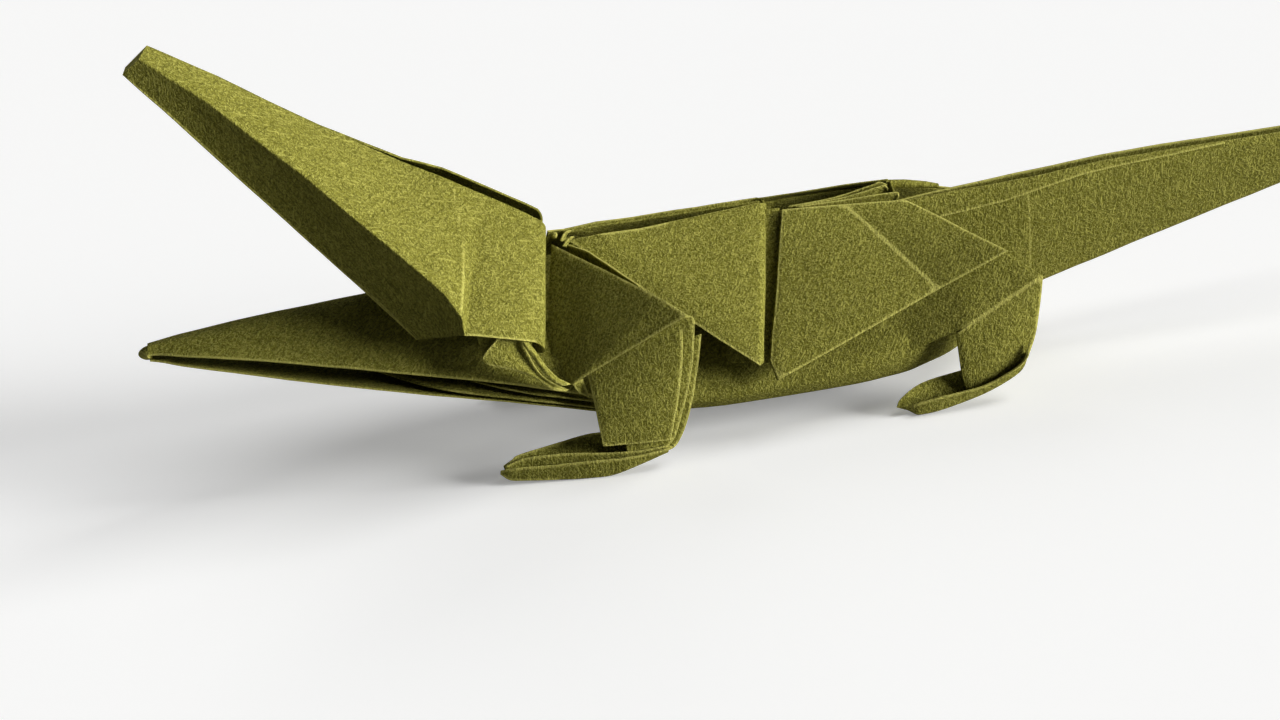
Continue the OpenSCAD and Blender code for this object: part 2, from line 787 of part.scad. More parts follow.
module crocodile() {
    color(paper_green)
        translate([-middle_x, 0, 0])
            difference() {
                union() {
                    palate();
                    jaw_tent();
                    jaw_floor();
                    jaw_tip();
                    jaw_middle_ply();
                    trunk();
                    both_sides() {
                        jaw_side();
                        jaw_inner_ply();
                        snout_fold();
                        mouth_curl();
                        mouth_strip();
                        back_inner_ply();
                        front_flap();
                        rear_panel();
                        back_pleats();
                        front_leg();
                        front_leg_plies();
                        arm_ply();
                        front_foot();
                        hind_leg();
                        hind_leg_ply();
                        hind_foot();
                        tail_hem_ply();
                    }
                }
                // the soles are pressed flat on the floor
                translate([-below_floor.x / 2, -below_floor.y / 2, -below_floor.z])
                    cube(below_floor);
            }
}

crocodile();
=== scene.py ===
# %% [markdown]
# # An origami crocodile
# The real object is one square of thick, fibrous olive paper, folded many times. What the eye
# reads as "paper" is a set of thin plies that meet in soft folds, show their doubled edges, bow a
# little between the folds and turn pale and fuzzy wherever the paper was creased.
# The CAD solid fixes every corner of the model. Here each ply is laid again between the same
# corners, thinner and with rounded folds, so that it can carry the look of the paper.

# %% Load the frame
import math
import bmesh
import bpy
import numpy as np
from mathutils import Matrix, Vector, noise


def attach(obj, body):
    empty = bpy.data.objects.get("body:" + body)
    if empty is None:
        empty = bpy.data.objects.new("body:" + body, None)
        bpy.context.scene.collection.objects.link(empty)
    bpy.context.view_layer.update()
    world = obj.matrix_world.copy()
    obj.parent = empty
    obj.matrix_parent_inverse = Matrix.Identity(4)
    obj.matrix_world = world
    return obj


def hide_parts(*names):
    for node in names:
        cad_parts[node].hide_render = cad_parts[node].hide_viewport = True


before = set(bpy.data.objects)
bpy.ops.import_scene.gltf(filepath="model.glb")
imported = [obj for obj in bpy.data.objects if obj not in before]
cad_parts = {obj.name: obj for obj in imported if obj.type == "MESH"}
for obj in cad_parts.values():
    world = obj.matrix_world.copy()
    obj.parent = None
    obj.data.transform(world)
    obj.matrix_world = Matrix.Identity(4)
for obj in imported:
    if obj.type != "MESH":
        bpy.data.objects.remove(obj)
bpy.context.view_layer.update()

# %% [markdown]
# ## Corners
# All lengths are in millimetres. A corner is given by its distance from the neck towards the
# tail, its half width on the left side and its height above the floor. The upper jaw is tilted,
# so its corners are easier to give along its top edge and square to it.

# %% Corner helpers
NECK_TO_MIDDLE = 39.4
BACK_Z = 27.9
HEAD_AHEAD, HEAD_RISE = 2, 3.7
JAW_TILT = math.radians(35)


def left(x, half, z):
    return Vector((x - NECK_TO_MIDDLE, -half, z))


def across(p):
    return Vector((p.x, -p.y, p.z))


def on_head(along, depth, half):
    x = -HEAD_AHEAD - along * math.cos(JAW_TILT) - depth * math.sin(JAW_TILT)
    z = BACK_Z + HEAD_RISE + along * math.sin(JAW_TILT) - depth * math.cos(JAW_TILT)
    return left(x, half, z)


def full_row(half_row):
    return half_row + [across(p) for p in reversed(half_row[:-1])]


def moved(rows, step):
    return [[p + Vector(step) for p in row] for row in rows]


def column(rows, i):
    return [row[i] for row in rows]


def from_table(table, at, *columns):
    return [np.interp(at, column(table, 0), column(table, i)) for i in columns]


print("tip of the upper jaw, mm:", [round(v, 1) for v in on_head(54.7, 0, 0)])

# %% [markdown]
# ## Laying a ply
# A ply could be drawn as one flat face and folded, but real paper is never flat between its
# folds. So each ply starts as one or more grids. Their crossings are placed between rows of
# corners, grids that share an edge are merged, the folds between them are bevelled round, the
# sheet is solidified to the thickness of the paper and its cut edges are bevelled. Two distances
# are kept for the finish: how far a spot is from the nearest fold or edge, and how far from the
# nearest crease that was pressed flat again.

# %% Placing the crossings


def on_chain(points, t, soft):
    # a soft chain is a smooth curve through its points, and the others run straight
    i = min(int(t), len(points) - 2)
    f = t - i
    a, b = points[i], points[i + 1]
    if not soft:
        return a.lerp(b, f)
    before = points[i - 1] if i > 0 else a * 2 - b
    after = points[i + 2] if i + 2 < len(points) else b * 2 - a
    rise_a, rise_b = (b - before) / 2, (after - a) / 2
    return (a * (1 + 2 * f) * (1 - f) ** 2 + b * f * f * (3 - 2 * f)
            + rise_a * f * (1 - f) ** 2 - rise_b * f * f * (1 - f))


def place_grid(bm, rows, cells, bow, soft):
    spans = (len(rows) - 1, len(rows[0]) - 1)
    made = bmesh.ops.create_grid(bm, x_segments=spans[0] * cells[0],
                                 y_segments=spans[1] * cells[1], size=1)
    for v in made["verts"]:
        s, t = (v.co.x + 1) / 2, (v.co.y + 1) / 2
        crossing = [on_chain(row, t * spans[1], soft[1]) for row in rows]
        v.co = on_chain(crossing, s * spans[0], soft[0])
        v.co += Vector(bow) * math.sin(math.pi * s) * math.sin(math.pi * t)


bend = [Vector((0, 0, 0)), Vector((2, 0, 1)), Vector((4, 0, 0))]
print("height halfway up a bend, straight and soft:",
      [round(on_chain(bend, 0.5, soft).z, 2) for soft in (False, True)])

# %% Distances to folds and creases
FAR = 9.0
SHORTEST = 1e-6


def distance_to(spots, segments):
    nearest = np.full(len(spots), FAR)
    for a, b in segments:
        a, b = np.array(a), np.array(b)
        run = b - a
        length = run @ run
        if length < SHORTEST:
            continue
        t = np.clip((spots - a) @ run / length, 0, 1)
        nearest = np.minimum(nearest, np.linalg.norm(spots - a - t[:, None] * run, axis=1))
    return nearest


def steps_of(chains):
    return [step for chain in chains for step in zip(chain[:-1], chain[1:])]


def edges_of(rows):
    return [rows[0], rows[-1], column(rows, 0), column(rows, -1)]


print("a spot 2 mm over a fold:", distance_to(np.array([(1, 0, 2)]), [((0, 0, 0), (3, 0, 0))])[0])

# %% Cockle
# length and height of the slow and the quick waves that damp fingers leave in the sheet
SLOW_WAVE, SLOW_HEIGHT = 13, 0.16
QUICK_WAVE, QUICK_HEIGHT = 4, 0.06
QUICK_SHIFT = Vector((7, 3, 5))
# without a seed, Blender draws other waves in each run
noise.seed_set(3)


def cockle(p):
    slow = noise.noise_vector(p / SLOW_WAVE) * SLOW_HEIGHT
    quick = noise.noise_vector(p / QUICK_WAVE + QUICK_SHIFT) * QUICK_HEIGHT
    return p + slow + quick


jaw_tip = on_head(54.7, 0, 0)
print("cockle at the tip of the upper jaw, mm:", round((cockle(jaw_tip) - jaw_tip).length, 2))

# %% Ply
PAPER = 0.28
THIN, THINNER = 0.22, 0.2
MERGE = 0.02
FOLD_ANGLE, EDGE_ANGLE = math.radians(20), math.radians(65)
EDGE_ROUND = 0.3
paper = bmesh.new()
worn_mm = []
crease_mm = []


def round_off(bm, angle, offset, segments):
    edges = [e for e in bm.edges if e.is_manifold and e.calc_face_angle(0) > angle]
    bmesh.ops.bevel(bm, geom=edges, offset=offset, segments=segments, profile=0.5,
                    affect="EDGES", clamp_overlap=True, material=-1)


def lay_ply(*grids, cells=(6, 6), bows=(), soft=(False, False), thick=PAPER, fold=0.0,
            worn=None, creases=()):
    bm = bmesh.new()
    for i, rows in enumerate(grids):
        place_grid(bm, rows, cells, bows[i] if i < len(bows) else (0, 0, 0), soft)
    bmesh.ops.remove_doubles(bm, verts=bm.verts, dist=MERGE)
    bmesh.ops.recalc_face_normals(bm, faces=bm.faces)
    if fold:
        round_off(bm, FOLD_ANGLE, fold, 4)
    bmesh.ops.solidify(bm, geom=bm.faces[:], thickness=thick)
    bmesh.ops.recalc_face_normals(bm, faces=bm.faces)
    round_off(bm, EDGE_ANGLE, thick * EDGE_ROUND, 2)
    spots = np.array([v.co for v in bm.verts])
    if worn is None:
        worn = [chain for rows in grids for chain in edges_of(rows)]
    worn_mm.extend(distance_to(spots, steps_of(worn)))
    crease_mm.extend(distance_to(spots, steps_of(creases)))
    for v in bm.verts:
        v.co = cockle(v.co)
    mesh = bpy.data.meshes.new("ply")
    bm.to_mesh(mesh)
    bm.free()
    paper.from_mesh(mesh)
    bpy.data.meshes.remove(mesh)


def lay_pair(*grids, **finish):
    lay_ply(*grids, **finish)
    other = dict(finish)
    other["bows"] = [across(Vector(bow)) for bow in finish.get("bows", ())]
    for key in ("worn", "creases"):
        if finish.get(key) is not None:
            other[key] = [[across(p) for p in chain] for chain in finish[key]]
    lay_ply(*[[[across(p) for p in row] for row in rows] for rows in grids], **other)


def count(name):
    print(name + ":", len(paper.verts), "vertices so far")


print("plies, mm thick:", PAPER, THIN, THINNER)

# %% [markdown]
# ## Upper jaw
# The upper jaw is a long roof, open in a slit along the back half of its top. On each side the
# sheet runs from the slit down to the cheek ridge and folds under there into a wall that slants
# inwards to the lip. A soft crease parts the cheek from the long panel, and the rear edge of the
# cheek is rolled in. Cheek, panel and wall are three grids of one ply, so the ridge is one fold.

# %% Corners of the upper jaw
# distance along the head, half width of the slit and sag of its edge
slit_edge = [(0, 2.4, 0.1), (9, 2.2, 0.1), (14.6, 2.1, 0.2), (20, 1, 0.75), (27.7, 0.25, 0.9),
             (34, 0.2, 0.9), (40, 0.2, 0.5), (60, 0.2, 0.2)]


def head_top(along):
    half, sag = from_table(slit_edge, along, 1, 2)
    return on_head(along, sag, half)


cheek_base = on_head(5.8, 14.5, 15.2)
ridge_turn = on_head(7, 12.6, 15)
ear = on_head(-3.4, 12.3, 13.4)
lip = on_head(9.8, 19.7, 9)
snout_low = on_head(56.1, 4.4, 1.8)
ridge = [on_head(10.1, 10.9, 14.15), on_head(17.7, 8.8, 12.1), on_head(31.6, 5.3, 8.4),
         on_head(45.5, 2.7, 4.7), on_head(55, 1.6, 2.2)]
lips = [on_head(14, 18.1, 8.3), on_head(20, 16.1, 7.3), on_head(32, 12.2, 5.4),
        on_head(44.3, 8.3, 3.4), snout_low]
tops = [head_top(along) for along in (14.6, 20, 31.6, 45.5, 54.7)]
back_top = on_head(0.5, 0.2, 2.45)
print("head slit, mm wide at the back:", round(2 * -back_top.y, 1))

# %% Sides of the upper jaw
ROLL_TOP, ROLL_EAR = 0.8, 1.8
ROLL_SINK = 150
rearward, inward = Vector((0.819, 0, -0.574)), Vector((-0.31, 0.73, -0.6))


def rolled(p, radius, turn):
    return p + rearward * radius * math.sin(turn) + inward * radius * (1 - math.cos(turn))


roll_rows = [[rolled(back_top, ROLL_TOP, math.radians(turn)) - Vector((0, 0, turn / ROLL_SINK)),
              rolled(ear, ROLL_EAR, math.radians(turn))] for turn in range(162, 0, -18)]
cheek_rows = roll_rows + [
    [back_top, ear],
    [head_top(2.6), on_head(-1.2, 12.5, 14.4)],
    [head_top(6.5), on_head(4.2, 13.9, 15.1)],
    [head_top(9), cheek_base],
    [head_top(11.5), ridge_turn],
    [tops[0], ridge[0]],
]
cheek_edge = column(cheek_rows, 1)[len(roll_rows):len(roll_rows) + 4]
long_rows = [list(pair) for pair in zip(tops, ridge)]
wall_rows = [[cheek_base, lip], [ridge_turn, on_head(11.5, 19.1, 8.8)]]
wall_rows += [list(pair) for pair in zip(ridge, lips)]
soft_crease = [head_top(13.6), on_head(10.2, 4.5, 6.8), on_head(8.2, 9, 11.3),
               on_head(7.2, 12.2, 14.7)]
lay_pair(cheek_rows, long_rows, wall_rows, cells=(4, 14), fold=0.5,
         bows=((0.1, -0.6, 0.35), (0.1, -0.3, 0.2), (0, 0.25, 0)),
         worn=[cheek_edge, [lip] + lips[:2]], creases=[soft_crease])
count("upper jaw")

# %% Palate and snout
lay_ply([[p, across(p)] for p in (lip, snout_low)], cells=(24, 10), bows=((0, 0, 0.9),))
snout_end = [[p, across(p)] for p in (tops[-1], ridge[-1], snout_low)]
snout_crease = [on_head(53.2, 0.5, 0.8), on_head(53.3, 1.6, 2.4)]
lay_ply(snout_end, cells=(4, 6), fold=0.2, worn=[column(snout_end, 0), column(snout_end, 1)],
        creases=[snout_crease, [across(p) for p in snout_crease]])
count("palate and snout")

# %% [markdown]
# ## Lower jaw
# The lower jaw is a flat boat: an upper ply that crowns softly along its middle, a lower ply that
# is the throat, and a long open slit between their edges. At the tip both turn into one rounded
# fold, and near the neck more edges show between them.

# %% Rows of the lower jaw
JAW_LEN, JAW_WIDENING = 57.9, 0.7
TENT_HALF, THROAT_HALF, MIDDLE_HALF = 14, 13, 13.2
TENT_TIP, THROAT_TIP = 1.5, 1.3
TIP_Z, RIDGE_Z, EDGE_Z, THROAT_Z = 22.4, 26, 10.8, 8
TIP_TOP, TIP_EDGE, TIP_LOW = 0.9, 0.25, 0.4
RIDGE_POWER, EDGE_POWER = 0.4, 1.4
RIDGE_SOFT = 0.4
# share of the half width, and share of the rise to the ridge or of the sag of the throat
TENT_PROFILE = [(1, 0), (0.72, 0.36), (0.35, 0.76)]
THROAT_PROFILE = [(1, 0), (0.5, 0.07), (0, 0.1)]
MIDDLE_WIDENING, MIDDLE_CROWN = 0.4, 1


def jaw_share(f, start, end, power):
    return start + (end - start) * f ** power


def jaw_x(f):
    return -JAW_LEN * (1 - f)


def tent_row(f):
    half = max(TENT_TIP, TENT_HALF * f ** JAW_WIDENING)
    top = jaw_share(f, TIP_Z + TIP_TOP, RIDGE_Z, RIDGE_POWER)
    edge = jaw_share(f, TIP_Z + TIP_EDGE, EDGE_Z, EDGE_POWER)
    slope = [left(jaw_x(f), half * out, edge + (top - edge) * rise) for out, rise in TENT_PROFILE]
    return full_row(slope + [left(jaw_x(f), 0, top - RIDGE_SOFT)])


def throat_row(f):
    half = max(THROAT_TIP, THROAT_HALF * f ** JAW_WIDENING)
    z = jaw_share(f, TIP_Z - TIP_LOW, THROAT_Z, 1)
    return full_row([left(jaw_x(f), half * out, z - sag * half) for out, sag in THROAT_PROFILE])


def middle_row(f, level, tuck):
    half = (MIDDLE_HALF + MIDDLE_WIDENING * level) * f ** JAW_WIDENING - tuck
    z = (jaw_share(f, TIP_Z, THROAT_Z, 1) * (1 - level)
         + jaw_share(f, TIP_Z, EDGE_Z, EDGE_POWER) * level)
    return full_row([left(jaw_x(f), half, z), left(jaw_x(f), 0, z + MIDDLE_CROWN)])


print("lower jaw, mm wide at the neck:", round(2 * -tent_row(1)[0].y, 1))

# %% Lower jaw
JAW_END = 1.03
stations = [0.025, 0.05, 0.1, 0.2, 0.36, 0.52, 0.68, 0.84, JAW_END]
tent_rows = [tent_row(f) for f in stations]
throat_rows = [throat_row(f) for f in stations]
lay_ply(tent_rows, cells=(5, 4), soft=(True, True),
        worn=[column(tent_rows, 0), column(tent_rows, -1)])
lay_ply(throat_rows, cells=(5, 5), soft=(True, True),
        worn=[column(throat_rows, 0), column(throat_rows, -1)])
for level, first in ((0.3, 0.5), (0.66, 0.62)):
    lay_ply([middle_row(first, level, 5), middle_row(first + 0.2, level, 0.2),
             middle_row(JAW_END, level, 0)], cells=(8, 10), thick=THIN, soft=(True, False))
NOSE_Z = TIP_Z + 0.05
# x, half width, reach and height of the rounded fold at the tip
nose_curve = [(-56, 1.5, 0.5, 0.35), (-56.3, 0.85, 1.15, 0.72), (-56.4, 0, 1.5, 0.85)]
nose_rows = []
for turn in range(90, -91, -30):
    a = math.radians(turn)
    nose_rows.append(full_row([left(x - reach * math.cos(a), half, NOSE_Z + height * math.sin(a))
                               for x, half, reach, height in nose_curve]))
lay_ply(nose_rows, cells=(3, 4), soft=(True, True), worn=nose_rows[2:5])
count("lower jaw")

# %% [markdown]
# ## Belly and tail
# The belly is a wide tub with a rounded floor, hidden at the sides by flaps and panels. The tail
# grows out of it as a narrow channel, open along its top, with a keel that rises to the tip. A
# hem is turned down along its root, and one pressed crease crosses each wall.

# %% Belly
# x, half width and height of the rim, half width and height of the side, height of the keel
belly_sections = [
    (-5, 7, 15, 10.5, 12, 9.3),
    (2, 6.5, 15, 11, 9.6, 6.2),
    (12, 6, 14.5, 11.8, 7.6, 3.5),
    (29.1, 7, 14, 12.9, 7.8, 2.7),
    (40.3, 8, 15, 13.1, 9, 2.7),
    (46, 8, 16, 12.4, 10.4, 3.2),
    (51.2, 5, 17, 10, 11.2, 4.2),
    (56, 3, 15, 5, 10.4, 6.2),
    (59.6, 1.4, 12, 1.2, 9, 7.5),
]
BELLY_ROUND = 0.6


def tub_row(x, rim_half, rim_z, side, side_z, keel_z):
    row = [left(x, rim_half, rim_z)]
    for turn in (0, 22.5, 45, 67.5, 90):
        a = math.radians(turn)
        row.append(left(x, side * max(math.cos(a), 0) ** BELLY_ROUND,
                        side_z - (side_z - keel_z) * math.sin(a) ** BELLY_ROUND))
    return full_row(row)


lay_ply([tub_row(*s) for s in belly_sections], cells=(6, 4), soft=(True, True), worn=[])
count("belly")

# %% Walls of the tail
# x, half width between the top edges, height of the top edges, height of the keel
tail_sections = [
    (46, 0.2, 24.4, 4.8),
    (55, 0.55, 24.7, 6.8),
    (63.6, 0.95, 24.85, 8.7),
    (75, 0.95, 25.2, 11.3),
    (84, 1, 25.25, 13.4),
    (94, 0.95, 25, 15.7),
    (105, 0.85, 24.75, 18.2),
    (120, 0.7, 24.8, 21.6),
    (136.4, 0.25, 25, 24.6),
]
KEEL_HALF, KEEL_FOLD = 0.45, 0.4
TAIL_BULGE, BULGE_POWER = 0.06, 0.6
CREASE_X = 63.6


def tail_side(x, drop, out):
    half, top_z, keel_z = from_table(tail_sections, x, 1, 2, 3)
    depth = top_z - keel_z
    low = max(0, drop)
    bulge = TAIL_BULGE * depth * math.sin(math.pi * min(1, low / depth) ** BULGE_POWER)
    lean = (KEEL_HALF * min(1, half) - half) * low / depth
    return left(x, half + lean + bulge + out, top_z - drop)


def tail_row(x, half, top_z, keel_z):
    depth = top_z - keel_z - KEEL_FOLD
    side = [tail_side(x, depth * share, 0) for share in (0, 0.12, 0.3, 0.6, 1)]
    return full_row(side + [left(x, 0, keel_z)])


tail_rows = [tail_row(*s) for s in tail_sections]
tail_crease = [tail_side(CREASE_X, drop, 0.2) for drop in (1.9, 4.8, 9.6, 14)]
lay_ply(tail_rows, cells=(5, 4), fold=0.25,
        worn=[column(tail_rows, 0), column(tail_rows, -1), column(tail_rows[2:], 5)],
        creases=[tail_crease, [across(p) for p in tail_crease]])
count("tail")

# %% Hem of the tail
# x and depth of the hem
hem_depths = [(46, 3.3), (52, 2.9), (59.8, 2.4), (64.1, 1.8), (71.2, 1.1), (79.7, 0.8),
              (85.5, 0.6), (92, 0.25)]
HEM_LIFT, HEM_TOP_OUT, HEM_OUT = 0.05, 0.3, 0.42
HEM_TURN = 0.4
hem_rows = [[tail_side(x, -HEM_LIFT, HEM_TOP_OUT), tail_side(x, depth * HEM_TURN, HEM_OUT),
             tail_side(x, depth, HEM_OUT)] for x, depth in hem_depths]
lay_pair(hem_rows, cells=(5, 3), thick=THINNER, worn=[column(hem_rows, 2)])
count("hem of the tail")

# %% [markdown]
# ## Flaps and panels
# Along each side a doubled triangle hangs from the edge of the back. Behind it lies a larger
# panel with one crease, which spreads like a skirt over the hip. Inside the slit each rim carries
# a narrow hem. On the near side a fan of three pleats fills the space up to the slit. The far side
# reaches over them to the middle, so the opening behind the pleats is dark, and a rolled end of
# the sheet lies behind it on the root of the tail.

# %% Front flaps
# x, half width and height of the rim of the back
rim = [left(*p) for p in ((0.6, 2.4, 28.3), (5, 2.5, 28.45), (10, 2.4, 28.2), (14, 2.1, 28.25),
                          (19, 1.7, 28.25), (25, 1.3, 28.25), (26.9, 1.15, 28.2))]
flap_tip = left(22, 15, 11.1)
flap_fan = [[p, flap_tip] for p in rim]
flap_roll = [[left(27.6, 1, 28), left(22.4, 14.7, 11.1)],
             [left(27.9, 0.5, 27.6), left(22.7, 14.2, 11)],
             [left(27.8, -0.2, 27), left(22.7, 13.4, 11)]]
flap_crease = [left(6.9, 4.65, 25.6), left(9.6, 2.45, 28.2)]
lay_pair(flap_fan + flap_roll, cells=(5, 22), bows=((0, -0.35, 0.25),),
         worn=[[rim[0], flap_tip], rim[1:4]], creases=[flap_crease])
lay_pair(moved(flap_fan, (0.3, 0.55, -0.3)), cells=(3, 12), worn=[])
rim_hem = [[p + Vector(step) for step in ((0, 0.1, 0), (0, 0.4, -0.2), (0, 0.5, -0.75))]
           for p in rim]
lay_pair(rim_hem, cells=(4, 3), thick=THINNER, fold=0.12, worn=[rim])
count("front flaps")

# %% Rear panels
EDGE_SHARE = 0.86
panel_front, panel_low = left(29.5, 2.6, 27.3), left(24.2, 15.5, 8.7)
panel_nick = left(23.6, 14.2, 11.1)
panel_crease, panel_bend = left(37.7, 3.3, 26.8), left(47.2, 13, 16.2)
skirt_root, skirt = left(45.8, 4.2, 26.2), left(57, 13, 20)
panel_rows = [
    [panel_front, panel_nick, panel_low],
    [panel_crease, panel_crease.lerp(panel_bend, EDGE_SHARE), panel_bend],
    [skirt_root, skirt_root.lerp(skirt, EDGE_SHARE), skirt],
]
lay_pair(panel_rows[:2], panel_rows[1:], cells=(14, 12), bows=((0, -0.2, 0.12), (0, -0.15, 0.1)),
         creases=[[panel_crease, panel_bend]])
lay_pair(moved(panel_rows, (-0.1, 0.5, -0.25)), cells=(6, 6), worn=[])
backing = [[left(22, 1.2, 27.6), left(18, 12, 11)], [left(29.4, 1.6, 27.2), left(27, 13, 9.6)]]
lay_pair(backing, cells=(6, 10), worn=[])
count("rear panels")

# %% Pleats
pleat_edges = [
    [left(31.8, 2.3, 27.2), left(38.6, 2.5, 27.05), left(44.8, 2.4, 26.85), left(45.5, 2.5, 26.4),
     left(45.4, 2.6, 25.8)],
    [left(31.5, 1.9, 27.2), left(38.1, 1.6, 27.1), left(43, 1, 27.5), left(44, 0.9, 27.6),
     left(44.5, 1, 27)],
    [left(30.6, 1.5, 27.2), left(36.9, 0.9, 27.05), left(41.8, 0.4, 27.6), left(43.4, 0.3, 27.9),
     left(44.5, 0.4, 27.4)],
]
for edge in pleat_edges:
    lay_ply([[p, p + Vector((-0.3, 0.3, -1.2)), p + Vector((-0.8, 0.4, -3))] for p in edge],
            cells=(6, 4), thick=THINNER, soft=(True, True), worn=[edge])
count("pleats")

# %% Far side above the pleats
STRIP_PLY, END_PLY = 0.16, 0.14
over_pleats = [[left(26.6, -0.3, 28.45), left(26.4, -3.2, 26.2)],
               [left(31.8, 0, 28.3), left(31.8, -2.9, 26.9)],
               [left(38.6, 0, 28.25), left(38.6, -3.4, 26.5)],
               [left(44.8, 0, 28), left(45, -4, 26)]]
lay_ply(over_pleats, cells=(4, 3), thick=STRIP_PLY, worn=[])
behind_pleats = [[left(45.2, 2.4, 26.4), left(45.2, 0, 27.6), left(45.2, -2.8, 26.5)],
                 [left(45.8, 4, 19), left(45.8, 0, 19), left(45.8, -4, 19)]]
lay_ply(behind_pleats, cells=(4, 6), worn=[])
# x, half width, height and radius of the rolled end
end_sections = [(44.8, -1.5, 26.75, 0.6), (47.5, -1.5, 26.25, 0.62), (50.5, -1.5, 25.5, 0.5),
                (52.2, -1.5, 25, 0.36)]
end_rows = [[left(x, half + radius * math.cos(math.radians(turn)),
                  z + radius * math.sin(math.radians(turn))) for turn in range(-120, 241, 60)]
            for x, half, z, radius in end_sections]
lay_ply(end_rows, cells=(5, 3), thick=END_PLY, soft=(False, True), worn=[end_rows[0]])
count("far side and rolled end")

# %% [markdown]
# ## Front legs
# The arm panel slants down from the neck to the elbow. There the sheet folds back under itself
# and comes out again as the leg, with two more plies that show behind it. The foot is three
# narrow walls that stand in each other and close to a blunt toe.

# %% Arms
shoulder, armpit = left(-1.7, 2.7, 28.3), left(-4.6, 8.8, 17.9)
arm_corner, elbow = left(-2.7, 14.2, 13.1), left(13.2, 17.4, 21.2)
arm_top = [shoulder, left(3.7, 8, 26), left(10.8, 15.2, 22.9), elbow]
arm_rows = [[p, p.lerp(arm_corner, 0.5) if i else armpit, arm_corner]
            for i, p in enumerate(arm_top)]
lay_pair(arm_rows, cells=(8, 10), bows=((-0.1, -0.3, 0.2),), worn=[[elbow, arm_corner], arm_top],
         creases=[[left(4.6, 11, 23.5), left(7.4, 14.6, 18.4)]])
second_top = [left(0.2, 2.7, 27.9), left(2.6, 5, 27.3), left(5.4, 8.6, 25.6), left(8, 11.6, 24)]
lay_pair([[p, p + Vector((0, 0.6, -2.4))] for p in second_top], cells=(6, 4), thick=THIN,
         worn=[second_top])
count("arms")

# %% Legs
leg_rows = [
    [left(-0.5, 13.9, 14.6), left(12.7, 16.5, 20.3)],
    [left(-0.3, 15, 11.5), left(11.9, 16.8, 14.9)],
    [left(-0.2, 15.9, 7.5), left(10.3, 16.9, 8.7)],
    [left(-0.1, 16.4, 4.4), left(8.8, 17, 3.8)],
]
lay_pair(leg_rows, cells=(5, 12), bows=((0, -0.3, 0),), soft=(True, False))
second_leg = [
    [left(3, 14.6, 16.2), left(13.1, 17.1, 20.9)],
    [left(3, 14.8, 15), left(14.1, 16.9, 20.2)],
    [left(3, 15.2, 12), left(13.7, 16.5, 16.6)],
    [left(3, 15.5, 9), left(12.5, 16.4, 11.7)],
    [left(3, 15.8, 6), left(11, 16.4, 7.7)],
    [left(3, 16, 4), left(9.5, 16.5, 4)],
    [left(3, 16.2, 3), left(8.3, 16.6, 2.7)],
]
third_leg = [
    [left(4, 14.4, 15), left(14.9, 16.1, 17.6)],
    [left(4, 14.6, 13), left(14.3, 15.9, 15.1)],
    [left(4, 15, 9), left(12.9, 15.8, 9.9)],
    [left(4, 15.2, 4), left(11.2, 15.8, 5.1)],
    [left(4, 15.6, 2.6), left(9.6, 16, 2.5)],
    [left(4, 15.8, 2.2), left(8.3, 16.2, 2)],
]
LEG_PLY = 0.24
for rows in (second_leg, third_leg):
    lay_pair(rows, cells=(4, 8), thick=LEG_PLY, soft=(True, False), worn=[column(rows, 1)])
count("legs")

# %% Front feet
outer_wall = [
    [left(-13.9, 13.3, 2.1), left(-14, 13.4, 1.6), left(-13.6, 13.1, 1.2)],
    [left(-12.8, 13.8, 2.3), left(-12.8, 13.9, 0.7), left(-12.6, 13.1, 0.6)],
    [left(-10.6, 14.4, 2.4), left(-10.4, 14.5, 0.5), left(-10.4, 13.3, 0.4)],
    [left(-8, 15, 2.4), left(-6.5, 15.3, 0.25), left(-6.5, 13.6, 0.25)],
    [left(-3.4, 16, 2.5), left(-2, 16.3, 0.1), left(-2, 14.2, 0.1)],
    [left(2.5, 17, 2.5), left(0.8, 16.7, 0.15), left(0.8, 14.6, 0.15)],
    [left(5, 17.2, 2.55), left(4.3, 17.1, 1.1), left(4.2, 15, 1.1)],
    [left(8.4, 17.3, 2.8), left(8.2, 17.2, 2.2), left(8, 15.4, 2.1)],
]
lay_pair(outer_wall, cells=(5, 6), fold=0.3, soft=(True, False),
         worn=[column(outer_wall, 0), outer_wall[0], column(outer_wall[:4], 1)])
inner_wall = [
    [left(-13.2, 13.4, 2.7), left(-13.2, 13.2, 1.2)],
    [left(-10.4, 13.8, 3.45), left(-10.4, 13.7, 0.6)],
    [left(-5.8, 14.7, 3.6), left(-5.8, 14.7, 0.5)],
    [left(-0.6, 15.7, 3.2), left(-0.6, 15.7, 0.5)],
    [left(4.6, 16.6, 2.95), left(4.6, 16.5, 1.2)],
    [left(8.4, 16.9, 3.1), left(8.4, 16.8, 2.4)],
]
far_wall = [
    [left(-13.4, 13.1, 2.6), left(-13.2, 13.1, 1.2)],
    [left(-12.1, 12.9, 3.15), left(-12, 13, 0.8)],
    [left(-10.9, 12.7, 3.6), left(-10.9, 13, 0.5)],
    [left(-5.4, 12.7, 4.3), left(-5.4, 13.5, 0.4)],
    [left(-0.1, 13.1, 4.9), left(-0.1, 14.1, 0.4)],
    [left(6, 14.6, 4), left(6, 15, 1.8)],
]
for rows in (inner_wall, far_wall):
    lay_pair(rows, cells=(6, 5), thick=THIN, soft=(True, False), worn=[column(rows, 0)])
count("front feet")

# %% [markdown]
# ## Hind legs
# A band comes out under the rear panel, runs back to the hip and folds down into the thigh. The
# foot is a canoe: two walls folded up from a narrow sole that rises to the heel.

